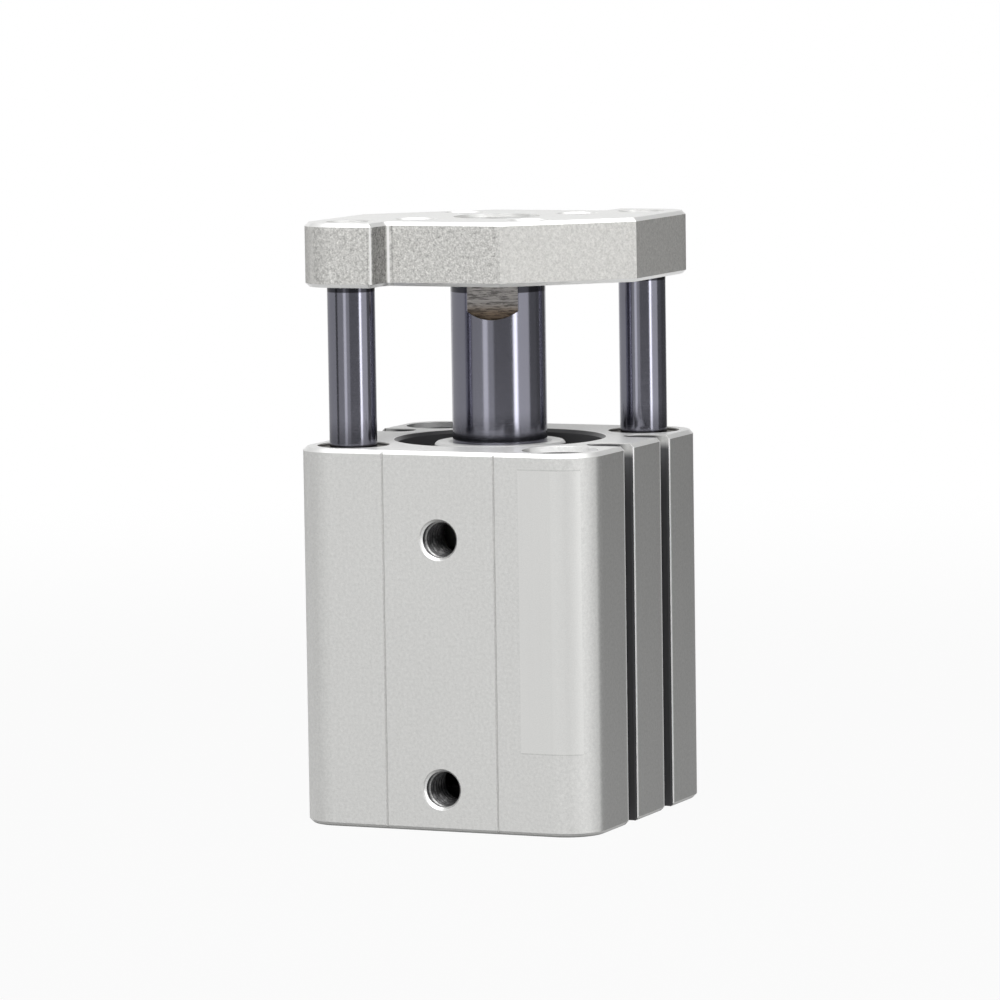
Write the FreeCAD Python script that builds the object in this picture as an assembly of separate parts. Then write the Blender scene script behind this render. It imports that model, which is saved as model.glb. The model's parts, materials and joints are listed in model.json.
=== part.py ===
import FreeCAD, Part
import math
import os
from collections import namedtuple

from FreeCAD import Vector

# Guided pneumatic cylinder, 25 mm bore and 15 mm stroke: a square body with one
# piston rod and two guide rods that carry a load plate. Millimetres. The origin
# is the middle of the base, +Z runs along the rods and the ports face -Y. The
# cylinder is drawn with its rods out; the plate drops by one stroke to close.

# --- Driving dimensions -------------------------------------------------------

# Body
bore_d = 25.0
stroke = 15.0
body_corner_r = 5.0
body_edge_chamfer = 0.5
corner_web = 1.35              # between the bore's ring groove and a counterbore
side_web = 1.25                # between a counterbore and the side faces

# Stack inside the bore, from the base up
head_wall = 4.5                # closed end of the body
end_gap = 0.2                  # left between bumper and stop at each limit
bumper_proud = 0.3
cover_nose = 5.0               # reduced part of the rod cover, beside the port
ring_thickness = 1.2
ring_side_play = 0.05
mouth_depth = 1.8              # from the retaining ring's groove to the rim
cover_step = 0.5               # the bore is this much wider round the cover
ring_groove_depth = 0.7
mouth_chamfer = 0.5
seat_fit = 0.02                # radial gap of pieces pushed into a seat
running_fit = 0.03             # radial gap of pieces that slide

# Ports, for M5 fittings
port_d = 5.0
port_chamfer = 0.1
head_port_above_floor = 0.8
rod_port_above_nose = 2.3

# Mounting holes at two opposite corners
mount_hole_d = 5.5
mount_cbore_d = 9.5
mount_cbore_depth = 7.0

# Sensor slots on the two sides
slot_web = 1.15                # between a slot and the mounting counterbore
slot_mouth = 3.2
slot_width = 4.0
slot_depth = 5.5
slot_lip = 0.5

# Scribed lines on the front and rear faces
mark_offset = 7.5
mark_width = 0.36
mark_depth = 0.2

# Rods
rod_d = 12.0
rod_chamfer = 0.5
wrench_flat_depth = 1.0
wrench_length = 4.75
wrench_cutter_r = 5.5
wrench_angle = 15.0            # flat's facing, turned from -Y towards +X
guide_rod_d = 6.0
guide_rod_chamfer = 0.5
guide_rod_end_gap = 1.0        # rod's end above the base when the rods are in

# Rod cover, bushes and seals
rod_bush_wall = 1.0
rod_bush_length = 6.0
rod_seal_depth = 2.6
rod_seal_height = 2.6
cover_rib = 1.0                # between rod bush and rod seal
cover_lid = 0.6                # above the rod seal
boss_wall = 2.3                # rod cover's boss round the rod
boss_recess = 0.4              # boss top below the rim
rod_hole_clearance = 0.2
o_ring_section = 1.26
guide_bush_wall = 1.5
guide_bush_length = 10.0
guide_bush_recess = 0.3
guide_bush_end_gap = 1.0       # lower bush above the end of the guide rod
guide_hole_clearance = 0.3     # between guide rod and the hole's middle part

# Piston set
piston_gap = 0.1
seal_land = 1.6                # from the piston's rear face to its seal
piston_seal_height = 3.0
piston_seal_depth = 2.2
ring_land = 1.0                # between the seal and the wear ring
wear_ring_height = 2.4
wear_ring_depth = 0.7
wear_ring_split = 0.6
magnet_land = 0.5              # between the wear ring and the magnet
magnet_height = 2.7
magnet_depth = 3.2
washer_thickness = 2.5
bumper_thickness = 1.5
bumper_rim = 2.4               # piston's rim outside the bumpers
bumper_rod_gap = 0.4
spigot_d = 8.0
spigot_wall = 0.9              # piston left between the screw's head and the spigot
inner_o_ring_height = 2.4      # above the spigot's end

# Load plate
plate_gap = 5.0                # plate above the body when the rods are in
plate_thickness = 8.0
plate_inset = 0.5              # plate's sides inside those of the body
plate_corner_r = 5.0
plate_chamfer = 0.45
lobe_reach = 5.3               # each lobe past the axis of its guide rod
notch_depth = 5.0
notch_r = 0.8
mount_access_gap = 0.2         # slanted edge clear of the mounting counterbore
guide_seat_depth = 1.5
tool_hole_d = 5.0
tool_hole_chamfer = 0.2
tool_edge_wall = 1.4           # between a tool hole and the slanted edge
head_recess = 0.35             # screw heads below the plate's top

# Screws
plate_screw_d = 6.0
plate_screw_head_d = 10.0
plate_screw_head_h = 4.0
plate_screw_key = 4.0
plate_screw_grip = 12.0        # thread in the piston rod
plate_screw_gap = 0.5          # round the head
guide_screw_d = 3.0
guide_screw_head_d = 5.5
guide_screw_head_h = 3.0
guide_screw_key = 2.5
guide_screw_grip = 8.0
guide_screw_gap = 0.25
piston_screw_d = 5.0
piston_screw_head_d = 9.2
piston_screw_key = 3.0
piston_screw_grip = 8.0
thread_fit = 0.02

# --- Sizes that follow ---------------------------------------------------------


def to_half_mm(size):
    return round(size * 2) / 2


bore_r = bore_d / 2
cover_r = bore_r + cover_step
ring_groove_r = cover_r + ring_groove_depth
ring_groove_h = ring_thickness + 2 * ring_side_play
end_stop = end_gap + bumper_proud

piston_length = (seal_land + piston_seal_height + ring_land + wear_ring_height
                 + magnet_land + magnet_height + washer_thickness)
piston_z = head_wall + end_stop + stroke
seal_z = piston_z + seal_land
wear_ring_z = seal_z + piston_seal_height + ring_land
magnet_z = wear_ring_z + wear_ring_height + magnet_land
washer_z = magnet_z + magnet_height
piston_top_z = piston_z + piston_length

cover_z = piston_top_z + end_stop
shoulder_z = cover_z + cover_nose
rod_bush_top_z = cover_z + rod_bush_length
rod_seal_z = rod_bush_top_z + cover_rib
ring_groove_z = rod_seal_z + rod_seal_height + cover_lid
body_length = ring_groove_z + ring_groove_h + mouth_depth
plate_z = body_length + stroke + plate_gap
plate_top_z = plate_z + plate_thickness

rod_r = rod_d / 2
spigot_r = spigot_d / 2
rod_hole_r = rod_r + rod_hole_clearance
rod_bush_r = rod_r + running_fit + rod_bush_wall
rod_seal_r = rod_r + rod_seal_depth
boss_r = rod_r + boss_wall
o_ring_r = o_ring_section / 2
o_ring_groove_h = 1.4 * o_ring_section
piston_r = bore_r - piston_gap
bumper_r_in = rod_r + bumper_rod_gap
bumper_r_out = piston_r - bumper_rim
bumper_seat = bumper_thickness - bumper_proud

guide_r = guide_rod_d / 2
guide_bush_r = guide_r + running_fit + guide_bush_wall
guide_rod_z = stroke + guide_rod_end_gap
lower_bush_z = guide_rod_z + guide_bush_end_gap
upper_bush_z = body_length - guide_bush_recess - guide_bush_length

mount_cbore_r = mount_cbore_d / 2
half_pitch = to_half_mm((ring_groove_r + corner_web + mount_cbore_r) / math.sqrt(2))
body_side = 2 * (half_pitch + mount_cbore_r + side_web)
slot_offset = half_pitch - mount_cbore_r - slot_web - slot_width / 2
GUIDE_SITES = dict(front=(-half_pitch, -half_pitch), rear=(half_pitch, half_pitch))
MOUNT_SITES = ((half_pitch, -half_pitch), (-half_pitch, half_pitch))

# The plate's slanted edges are the lines x - y = slant and y - x = slant.
plate_half = body_side / 2 - plate_inset
lobe_edge_r = 1.3 * plate_chamfer
slant = 2 * half_pitch - (mount_cbore_r + mount_access_gap) * math.sqrt(2)
tool_pitch = to_half_mm(slant - (tool_hole_d / 2 + tool_edge_wall) * math.sqrt(2))

Screw = namedtuple("Screw", "thread_r head_r head_h key grip gap")
PLATE_SCREW = Screw(plate_screw_d / 2, plate_screw_head_d / 2, plate_screw_head_h,
                    plate_screw_key, plate_screw_grip, plate_screw_gap)
GUIDE_SCREW = Screw(guide_screw_d / 2, guide_screw_head_d / 2, guide_screw_head_h,
                    guide_screw_key, guide_screw_grip, guide_screw_gap)


# --- Shapes used by many pieces --------------------------------------------------

def cylinder(r, z0, z1, at=(0, 0)):
    return Part.makeCylinder(r, z1 - z0, Vector(at[0], at[1], z0))


def tube(r_out, r_in, z0, z1, at=(0, 0)):
    return cylinder(r_out, z0, z1, at).cut(cylinder(r_in, z0, z1, at))


def block(x0, x1, y0, y1, z0, z1):
    return Part.makeBox(x1 - x0, y1 - y0, z1 - z0, Vector(x0, y0, z0))


def turned(profile, at=(0, 0)):
    """Solid of revolution about a vertical axis, from (radius, height) points."""
    points = [Vector(r, 0, z) for r, z in profile]
    face = Part.Face(Part.makePolygon(points + points[:1]))
    solid = face.revolve(Vector(), Vector(0, 0, 1), 360)
    solid.translate(Vector(at[0], at[1], 0))
    return solid


def extruded(edges, z0, z1):
    face = Part.Face(Part.Wire(edges))
    face.translate(Vector(0, 0, z0))
    return face.extrude(Vector(0, 0, z1 - z0))


def outline(corners):
    """Edges of a closed outline. A corner is (x, y) or (x, y, radius)."""
    starts, ends, arcs = [], [], []
    count = len(corners)
    for i, corner in enumerate(corners):
        here = Vector(corner[0], corner[1], 0)
        before = Vector(*corners[i - 1][:2], 0) - here
        after = Vector(*corners[(i + 1) % count][:2], 0) - here
        radius = corner[2] if len(corner) > 2 else 0
        if not radius:
            starts.append(here)
            ends.append(here)
            arcs.append(None)
            continue
        before.normalize()
        after.normalize()
        half_angle = before.getAngle(after) / 2
        reach = radius / math.tan(half_angle)
        bisector = (before + after).normalize()
        centre = here + bisector * (radius / math.sin(half_angle))
        starts.append(here + before * reach)
        ends.append(here + after * reach)
        arcs.append(Part.Arc(starts[-1], centre - bisector * radius, ends[-1]).toShape())
    edges = []
    for i in range(count):
        if arcs[i]:
            edges.append(arcs[i])
        edges.append(Part.makeLine(ends[i], starts[(i + 1) % count]))
    return edges


def rim_chamfered(solid, z0, z1, size):
    """Chamfer of every edge that lies in one of the two end planes."""
    rims = [edge for edge in solid.Edges
            if all(abs(v.Z - z0) < 1e-6 for v in edge.Vertexes)
            or all(abs(v.Z - z1) < 1e-6 for v in edge.Vertexes)]
    return solid.makeChamfer(size, rims)


def o_ring(centre_r, z):
    """Static seal, its round section drawn with six sides."""
    steps = [math.radians(60 * i) for i in range(6)]
    return turned([(centre_r + o_ring_r * math.cos(a), z + o_ring_r * math.sin(a)) for a in steps])


def hexagon(across, z0, z1, at=(0, 0)):
    corner_r = across / math.sqrt(3)
    points = [(corner_r * math.cos(math.radians(a)), corner_r * math.sin(math.radians(a)))
              for a in range(0, 360, 60)]
    solid = extruded(outline(points), z0, z1)
    solid.translate(Vector(at[0], at[1], 0))
    return solid


# --- Body ------------------------------------------------------------------------

def sensor_slot(y):
    """Round-bottomed slot behind a narrow mouth, open on the +X side."""
    face_x = body_side / 2
    round_r = slot_width / 2
    round_x = face_x - slot_depth + round_r
    top = body_length + 1
    mouth = block(face_x - slot_lip - 1, face_x + 1, y - slot_mouth / 2, y + slot_mouth / 2,
                  -1, top)
    room = block(round_x, face_x - slot_lip, y - round_r, y + round_r, -1, top)
    return mouth.fuse([room, cylinder(round_r, -1, top, (round_x, y))])


def scribed_line(x):
    """V groove along the front face."""
    face_y = -body_side / 2
    points = [(x - mark_width / 2, face_y - 0.01), (x, face_y + mark_depth),
              (x + mark_width / 2, face_y - 0.01)]
    return extruded(outline(points), -1, body_length + 1)


def port(z):
    """Threaded hole from the front face into the bore, drawn at its thread's size."""
    inwards = Vector(0, 1, 0)
    mouth = Vector(0, -body_side / 2, z)
    hole = Part.makeCylinder(port_d / 2, body_side / 2 - bore_r + 1.0, mouth, inwards)
    return hole.fuse(Part.makeCone(port_d / 2 + port_chamfer, port_d / 2, port_chamfer,
                                   mouth, inwards))


def mount_hole(at):
    """Through hole with a counterbore at both ends."""
    return cylinder(mount_hole_d / 2, -1, body_length + 1, at).fuse(
        [cylinder(mount_cbore_r, -1, mount_cbore_depth, at),
         cylinder(mount_cbore_r, body_length - mount_cbore_depth, body_length + 1, at)])


def guide_hole(at):
    """Bush seats from both ends, joined by a hole that clears the rod."""
    seat_r = guide_bush_r + seat_fit
    return cylinder(guide_r + guide_hole_clearance, -1, body_length + 1, at).fuse(
        [cylinder(seat_r, -1, lower_bush_z + guide_bush_length, at),
         cylinder(seat_r, upper_bush_z, body_length + 1, at)])


def cylinder_bore():
    """Bore, wider seat of the rod cover, ring groove and chamfered mouth."""
    groove_top = ring_groove_z + ring_groove_h
    return turned([(0, head_wall), (bore_r, head_wall), (bore_r, shoulder_z),
                   (cover_r, shoulder_z), (cover_r, ring_groove_z),
                   (ring_groove_r, ring_groove_z), (ring_groove_r, groove_top),
                   (cover_r, groove_top), (cover_r, body_length - mouth_chamfer),
                   (cover_r + mouth_chamfer, body_length),
                   (cover_r + mouth_chamfer, body_length + 1), (0, body_length + 1)])


def make_cylinder_body():
    half = body_side / 2
    corners = [(x * half, y * half, body_corner_r)
               for x, y in ((-1, -1), (1, -1), (1, 1), (-1, 1))]
    solid = extruded(outline(corners), 0, body_length)
    solid = rim_chamfered(solid, 0, body_length, body_edge_chamfer)
    one_side = [sensor_slot(slot_offset), sensor_slot(-slot_offset),
                scribed_line(mark_offset), scribed_line(-mark_offset)]
    cuts = [cylinder_bore()]
    for cut in one_side:
        other = cut.copy()
        other.rotate(Vector(), Vector(0, 0, 1), 180)
        cuts += [cut, other]
    cuts += [port(head_wall + head_port_above_floor), port(cover_z + rod_port_above_nose)]
    cuts += [mount_hole(at) for at in MOUNT_SITES]
    cuts += [guide_hole(at) for at in GUIDE_SITES.values()]
    return solid.cut(cuts)


# --- Rod cover and what it holds --------------------------------------------------

cover_o_ring_z = (shoulder_z + ring_groove_z) / 2


def make_rod_cover():
    bush_seat_r = rod_bush_r + seat_fit
    flange_r = cover_r - seat_fit
    groove_r = flange_r - o_ring_section
    nose_r = (bush_seat_r + bore_r) / 2 + 0.7
    boss_z = body_length - boss_recess
    groove_low = cover_o_ring_z - o_ring_groove_h / 2
    groove_high = cover_o_ring_z + o_ring_groove_h / 2
    bush_top = rod_bush_top_z + 0.2
    seal_seat_r = rod_seal_r + seat_fit
    seal_low = rod_seal_z - seat_fit
    seal_high = rod_seal_z + rod_seal_height + seat_fit
    return turned([
        (bush_seat_r, cover_z), (nose_r - 0.4, cover_z), (nose_r, cover_z + 0.4),
        (nose_r, shoulder_z), (flange_r, shoulder_z), (flange_r, groove_low),
        (groove_r, groove_low), (groove_r, groove_high),
        (flange_r, groove_high), (flange_r, ring_groove_z), (boss_r, ring_groove_z),
        (boss_r, boss_z - 0.3), (boss_r - 0.3, boss_z), (rod_hole_r + 0.4, boss_z),
        (rod_hole_r, boss_z - 0.4), (rod_hole_r, seal_high), (seal_seat_r, seal_high),
        (seal_seat_r, seal_low), (rod_hole_r, seal_low), (rod_hole_r, bush_top),
        (bush_seat_r, bush_top)])


def make_rod_cover_o_ring():
    return o_ring(cover_r - seat_fit - o_ring_r, cover_o_ring_z)


def make_rod_bush():
    return tube(rod_bush_r, rod_r + running_fit, cover_z + 0.1, rod_bush_top_z)


def make_rod_seal():
    """U-shaped packing, its lips towards the pressure."""
    r_in, r_out = rod_r + running_fit, rod_seal_r
    low, high = rod_seal_z, rod_seal_z + rod_seal_height
    lip = (r_out - r_in) * 0.3
    middle = (r_in + r_out) / 2
    return turned([(r_in + lip / 2, low), (r_in + lip, low), (middle, low + 1.0),
                   (r_out - lip, low), (r_out, low), (r_out, high), (r_in + 0.3, high),
                   (r_in + 0.3, low + 1.6), (r_in, low + 0.7)])


def make_retaining_ring():
    """Internal ring with two pierced lugs in the room beside the boss."""
    low = ring_groove_z + ring_side_play
    high = low + ring_thickness
    r_out = ring_groove_r - seat_fit
    r_in = cover_r - 1.2
    room = r_in - boss_r
    lug_r = 0.42 * room
    lug_x = r_in - 0.18 * room
    gap = 3.2
    gap_angle = 115
    ring = cylinder(r_out, low, high).cut(cylinder(r_in, low - 1, high + 1, (-0.3, 0)))
    ring = ring.cut(block(0, r_out + 1, -gap / 2, gap / 2, low - 1, high + 1))
    for side in (-1, 1):
        at = (lug_x, side * (gap / 2 + lug_r))
        neck = block(lug_x, r_in + 0.5, at[1] - lug_r, at[1] + lug_r, low, high)
        ring = ring.fuse([cylinder(lug_r, low, high, at), neck])
        ring = ring.cut(cylinder(lug_r / 2, low - 1, high + 1, at))
    ring = ring.removeSplitter()
    ring.rotate(Vector(), Vector(0, 0, 1), gap_angle)
    return ring


# --- Guides ------------------------------------------------------------------------

def make_guide_bush(at, z):
    """Plain bush, its outer corners broken so that it can be pressed in."""
    r_in = guide_r + running_fit
    r_out = guide_bush_r
    top = z + guide_bush_length
    edge = 0.3
    return turned([(r_in, z), (r_out - edge, z), (r_out, z + edge), (r_out, top - edge),
                   (r_out - edge, top), (r_in, top)], at)


def make_guide_rod(at):
    """Ground rod, seated in the plate and tapped for its screw."""
    top = plate_z + guide_seat_depth
    low = guide_rod_z
    c = guide_rod_chamfer
    tapped_r = GUIDE_SCREW.thread_r + thread_fit
    tapped_z = top - GUIDE_SCREW.grip - 1.0
    return turned([(0, low), (guide_r - c, low), (guide_r, low + c), (guide_r, top),
                   (tapped_r, top), (tapped_r, tapped_z), (0, tapped_z - tapped_r / 2)], at)


# --- Piston rod and piston set --------------------------------------------------------

piston_screw_r = piston_screw_d / 2
screw_head_z = piston_z + 0.2
cone_z = screw_head_z + 0.2
spigot_z = cone_z + piston_screw_head_d / 2 - piston_screw_r + spigot_wall
inner_o_ring_z = spigot_z + inner_o_ring_height


def make_piston_rod():
    c = rod_chamfer
    tapped_r = PLATE_SCREW.thread_r + thread_fit
    tapped_z = plate_z - PLATE_SCREW.grip - 1.0
    low_tap_r = piston_screw_r + thread_fit
    low_tap_z = spigot_z + piston_screw_grip + 1.0
    rod = turned([(low_tap_r, spigot_z), (spigot_r - c, spigot_z), (spigot_r, spigot_z + c),
                  (spigot_r, piston_top_z), (rod_r, piston_top_z), (rod_r, plate_z - c),
                  (rod_r - c, plate_z), (tapped_r, plate_z), (tapped_r, tapped_z),
                  (0, tapped_z - tapped_r / 2), (0, low_tap_z + low_tap_r / 2),
                  (low_tap_r, low_tap_z)])
    arc_z = plate_z - wrench_length + wrench_cutter_r
    flat_y = rod_r - wrench_flat_depth
    cutter = Part.makeCylinder(wrench_cutter_r, rod_r, Vector(0, flat_y, arc_z), Vector(0, 1, 0))
    for turn in (180, 0):
        flat = cutter.copy()
        flat.rotate(Vector(), Vector(0, 0, 1), wrench_angle + turn)
        rod = rod.cut(flat)
    return rod


def piston_screw_profile(gap):
    """Countersunk screw from the rear face, widened all round by gap."""
    head_r = piston_screw_head_d / 2 + gap
    shank_r = piston_screw_r + gap
    low = screw_head_z - 10 * gap
    return [(0, low), (head_r, low), (head_r, cone_z), (shank_r, cone_z + head_r - shank_r)]


def make_piston():
    hub_r = piston_r - magnet_depth
    wear_r = bore_r - running_fit - wear_ring_depth - seat_fit
    seal_r = bore_r - running_fit - piston_seal_depth - seat_fit
    hole_r = spigot_r + seat_fit
    groove_r = hole_r + o_ring_section
    seat_z = spigot_z - 0.1
    seal_low, seal_high = seal_z - 0.1, seal_z + piston_seal_height + 0.1
    wear_low, wear_high = wear_ring_z - 0.05, wear_ring_z + wear_ring_height + 0.05
    groove_low = inner_o_ring_z - o_ring_groove_h / 2
    groove_high = inner_o_ring_z + o_ring_groove_h / 2
    body = turned([
        (0, piston_z), (bumper_r_in - seat_fit, piston_z),
        (bumper_r_in - seat_fit, piston_z + bumper_seat),
        (bumper_r_out + seat_fit, piston_z + bumper_seat),
        (bumper_r_out + seat_fit, piston_z), (piston_r, piston_z),
        (piston_r, seal_low), (seal_r, seal_low),
        (seal_r, seal_high), (piston_r, seal_high), (piston_r, wear_low),
        (wear_r, wear_low), (wear_r, wear_high), (piston_r, wear_high),
        (piston_r, magnet_z), (hub_r, magnet_z), (hub_r, washer_z), (hole_r, washer_z),
        (hole_r, groove_high), (groove_r, groove_high), (groove_r, groove_low),
        (hole_r, groove_low), (hole_r, seat_z), (0, seat_z)])
    hole = piston_screw_profile(seat_fit)
    hole += [(hole[-1][0], seat_z + 1), (0, seat_z + 1)]
    return body.cut(turned(hole))


def make_piston_screw():
    key_depth = 1.6
    profile = piston_screw_profile(0)
    shank_r = profile[-1][0]
    tip_z = spigot_z + piston_screw_grip
    profile += [(shank_r, tip_z), (0, tip_z)]
    return turned(profile).cut(hexagon(piston_screw_key, screw_head_z - 1,
                                       screw_head_z + key_depth))


def make_piston_seal():
    """Two-lipped ring that seals both ways."""
    r_out = bore_r - running_fit
    r_in = r_out - piston_seal_depth
    low, high = seal_z, seal_z + piston_seal_height
    middle = (low + high) / 2
    return turned([(r_in, low), (r_out - 0.5, low), (r_out, low + 0.6), (r_out - 0.6, middle),
                   (r_out, high - 0.6), (r_out - 0.5, high), (r_in, high)])


def make_wear_ring():
    """Slide ring, split so that it can be sprung over the piston."""
    r_out = bore_r - running_fit
    top = wear_ring_z + wear_ring_height
    ring = tube(r_out, r_out - wear_ring_depth, wear_ring_z, top)
    return ring.cut(block(0, bore_r + 1, -wear_ring_split / 2, wear_ring_split / 2,
                          wear_ring_z - 1, top + 1))


def make_magnet():
    return tube(piston_r - 0.3, piston_r - magnet_depth + seat_fit, magnet_z + seat_fit,
                washer_z - seat_fit)


def make_magnet_washer():
    seat = piston_top_z - bumper_seat
    return turned([(spigot_r + seat_fit, washer_z), (piston_r, washer_z),
                   (piston_r, piston_top_z), (bumper_r_out + seat_fit, piston_top_z),
                   (bumper_r_out + seat_fit, seat),
                   (bumper_r_in - seat_fit, seat), (bumper_r_in - seat_fit, piston_top_z),
                   (spigot_r + seat_fit, piston_top_z)])


def make_piston_o_ring():
    return o_ring(spigot_r + seat_fit + o_ring_r, inner_o_ring_z)


def make_rear_bumper():
    return tube(bumper_r_out, bumper_r_in, piston_z - bumper_proud, piston_z + bumper_seat)


def make_front_bumper():
    return tube(bumper_r_out, bumper_r_in, piston_top_z - bumper_seat,
                piston_top_z + bumper_proud)


# --- Load plate and its screws -------------------------------------------------------

def cap_screw(size, at, grip_top_z):
    """Cap screw that grips the piece whose top is at grip_top_z."""
    under_head_z = plate_top_z - head_recess - size.head_h
    top = plate_top_z - head_recess
    tip = grip_top_z - size.grip
    edge = 0.3
    screw = turned([(0, tip), (size.thread_r, tip), (size.thread_r, under_head_z),
                    (size.head_r, under_head_z), (size.head_r, top - edge),
                    (size.head_r - edge, top), (0, top)], at)
    return screw.cut(hexagon(size.key, top - 0.6 * size.head_h, top + 1, at))


def screw_hole(size, at):
    """Counterbore for the head and a clearance hole through the plate."""
    seat_z = plate_top_z - head_recess - size.head_h
    return cylinder(size.thread_r + 0.2, plate_z - 1, plate_top_z + 1, at).fuse(
        cylinder(size.head_r + size.gap, seat_z, plate_top_z + 1, at))


def tool_hole(at):
    """Threaded through hole, drawn at its thread's size with a broken rim."""
    r = tool_hole_d / 2
    wide = r + tool_hole_chamfer
    return turned([(0, plate_z - 1), (r, plate_z - 1), (r, plate_top_z - tool_hole_chamfer),
                   (wide, plate_top_z), (wide, plate_top_z + 1), (0, plate_top_z + 1)], at)


def make_load_plate():
    """Plate with a lobe over each guide rod, cut back to reach the mounting holes."""
    half = plate_half
    face = half - notch_depth
    notch_x = lobe_reach - half_pitch
    front = [(-half, -half, plate_corner_r), (notch_x, -half, lobe_edge_r),
             (notch_x, -face, notch_r), (slant - face, -face), (half, half - slant)]
    rear = [(-corner[0], -corner[1], *corner[2:]) for corner in front]
    plate = extruded(outline(front + rear), plate_z, plate_top_z)
    plate = rim_chamfered(plate, plate_z, plate_top_z, plate_chamfer)
    cuts = [screw_hole(PLATE_SCREW, (0, 0))]
    for at in GUIDE_SITES.values():
        cuts += [screw_hole(GUIDE_SCREW, at),
                 cylinder(guide_r + seat_fit, plate_z - 1, plate_z + guide_seat_depth, at)]
    for x in (-tool_pitch / 2, tool_pitch / 2):
        for y in (-tool_pitch / 2, tool_pitch / 2):
            cuts.append(tool_hole((x, y)))
    return plate.cut(cuts)


def make_plate_screw():
    return cap_screw(PLATE_SCREW, (0, 0), plate_z)


def make_guide_rod_screws():
    rod_top_z = plate_z + guide_seat_depth
    return Part.makeCompound([cap_screw(GUIDE_SCREW, at, rod_top_z)
                              for at in GUIDE_SITES.values()])


# --- Every node, one file each ---------------------------------------------------------

NODES = {
    "cylinder_body": make_cylinder_body(),
    "rod_cover": make_rod_cover(),
    "rod_cover_o_ring": make_rod_cover_o_ring(),
    "rod_bush": make_rod_bush(),
    "rod_seal": make_rod_seal(),
    "retaining_ring": make_retaining_ring(),
    "load_plate": make_load_plate(),
    "plate_screw": make_plate_screw(),
    "guide_rod_screws": make_guide_rod_screws(),
    "piston_rod": make_piston_rod(),
    "piston": make_piston(),
    "piston_screw": make_piston_screw(),
    "piston_seal": make_piston_seal(),
    "piston_o_ring": make_piston_o_ring(),
    "wear_ring": make_wear_ring(),
    "magnet": make_magnet(),
    "magnet_washer": make_magnet_washer(),
    "front_bumper": make_front_bumper(),
    "rear_bumper": make_rear_bumper(),
}
for corner, site in GUIDE_SITES.items():
    NODES[f"guide_rod_{corner}"] = make_guide_rod(site)
    NODES[f"guide_bush_{corner}_upper"] = make_guide_bush(site, upper_bush_z)
    NODES[f"guide_bush_{corner}_lower"] = make_guide_bush(site, lower_bush_z)

os.makedirs("parts", exist_ok=True)
for name, shape in NODES.items():
    shape.exportStep(f"parts/{name}.step")
    print(name, shape.isValid(), len(shape.Solids), round(shape.Volume, 2), shape.BoundBox)
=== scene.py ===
"""Looks of a guided pneumatic cylinder: finishes, threads, studio and camera."""

import json
import math

import bpy
from bpy.props import (FloatProperty, FloatVectorProperty, IntProperty, PointerProperty)
from bpy.types import Operator, Panel, PropertyGroup
from mathutils import Matrix, Vector


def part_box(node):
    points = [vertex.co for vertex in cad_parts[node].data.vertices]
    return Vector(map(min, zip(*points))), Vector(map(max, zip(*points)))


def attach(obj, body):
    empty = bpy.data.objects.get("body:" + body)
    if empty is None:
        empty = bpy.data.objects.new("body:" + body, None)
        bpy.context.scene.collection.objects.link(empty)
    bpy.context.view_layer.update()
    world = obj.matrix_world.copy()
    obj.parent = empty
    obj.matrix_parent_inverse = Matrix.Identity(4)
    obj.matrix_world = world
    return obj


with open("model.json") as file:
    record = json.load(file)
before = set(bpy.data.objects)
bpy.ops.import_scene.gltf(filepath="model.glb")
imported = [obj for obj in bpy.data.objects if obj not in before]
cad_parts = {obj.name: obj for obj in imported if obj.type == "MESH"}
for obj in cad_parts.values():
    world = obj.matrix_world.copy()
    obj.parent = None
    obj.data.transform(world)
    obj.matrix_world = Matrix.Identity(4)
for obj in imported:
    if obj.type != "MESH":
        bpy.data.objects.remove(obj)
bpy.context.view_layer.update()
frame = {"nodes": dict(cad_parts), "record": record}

bl_info = {
    "name": "Guided Pneumatic Cylinder",
    "version": (1, 0, 0),
    "blender": (4, 5, 0),
    "location": "View3D > Sidebar > Cylinder",
    "description": "Finishes, threads and studio of a guided pneumatic cylinder",
    "category": "Object",
}

MM = 0.001
BODY_LOW, BODY_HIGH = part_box("cylinder_body")
PLATE_LOW, PLATE_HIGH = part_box("load_plate")
ROD_LOW, ROD_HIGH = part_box("piston_rod")
COVER_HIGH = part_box("rod_cover")[1]
SCREW_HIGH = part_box("plate_screw")[1]
MOUNTS = {mount["name"]: mount for mount in frame["record"]["mounts"]}

# Places on the body and the load plate, in millimetres
SCRIBED_X = 7.5                 # lines on the front and rear faces
LABEL_X = (10.8, 18.5)          # smooth field beside the ports, without text
LABEL_Z = (10.4, 45.4)
SLOT_Y = MOUNTS["sensor_slot_right_rear"]["pos_m"][1] / MM
SLOT_LIP = 1.7                  # middle of a slot's lip, from the slot's middle
SLOT_LIP_DEPTH = 0.13           # lit strip of the lips, from the side face inwards
SLOT_REACH = 5.7                # just past the slots' bottoms
NOTCH_X = 8.7                   # inner side of the plate's lobes
NOTCH_Y = 14.2                  # where the plate's notches begin
FLAT_LENGTH = 5.0               # wrench flats below the plate
BODY_CUTTER = (70.0, -52.0)     # centres of the arcs that milling left
PLATE_CUTTER = (-64.0, -70.0)

# Walls of holes and slots, in millimetres: radii, or half widths, up to which a point
# is on the wall and from which it is on the face round it
MOUNTING_WALL = (4.8, 4.85)
GUIDE_WALL = (4.6, 4.65)
PORT_WALL = (2.56, 2.6)
SLOT_WALL = (2.06, 2.1)
PLATE_SCREW_WALL = (5.6, 5.65)
GUIDE_SCREW_WALL = (3.1, 3.15)
TOOL_HOLE_WALL = (2.75, 2.8)

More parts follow.
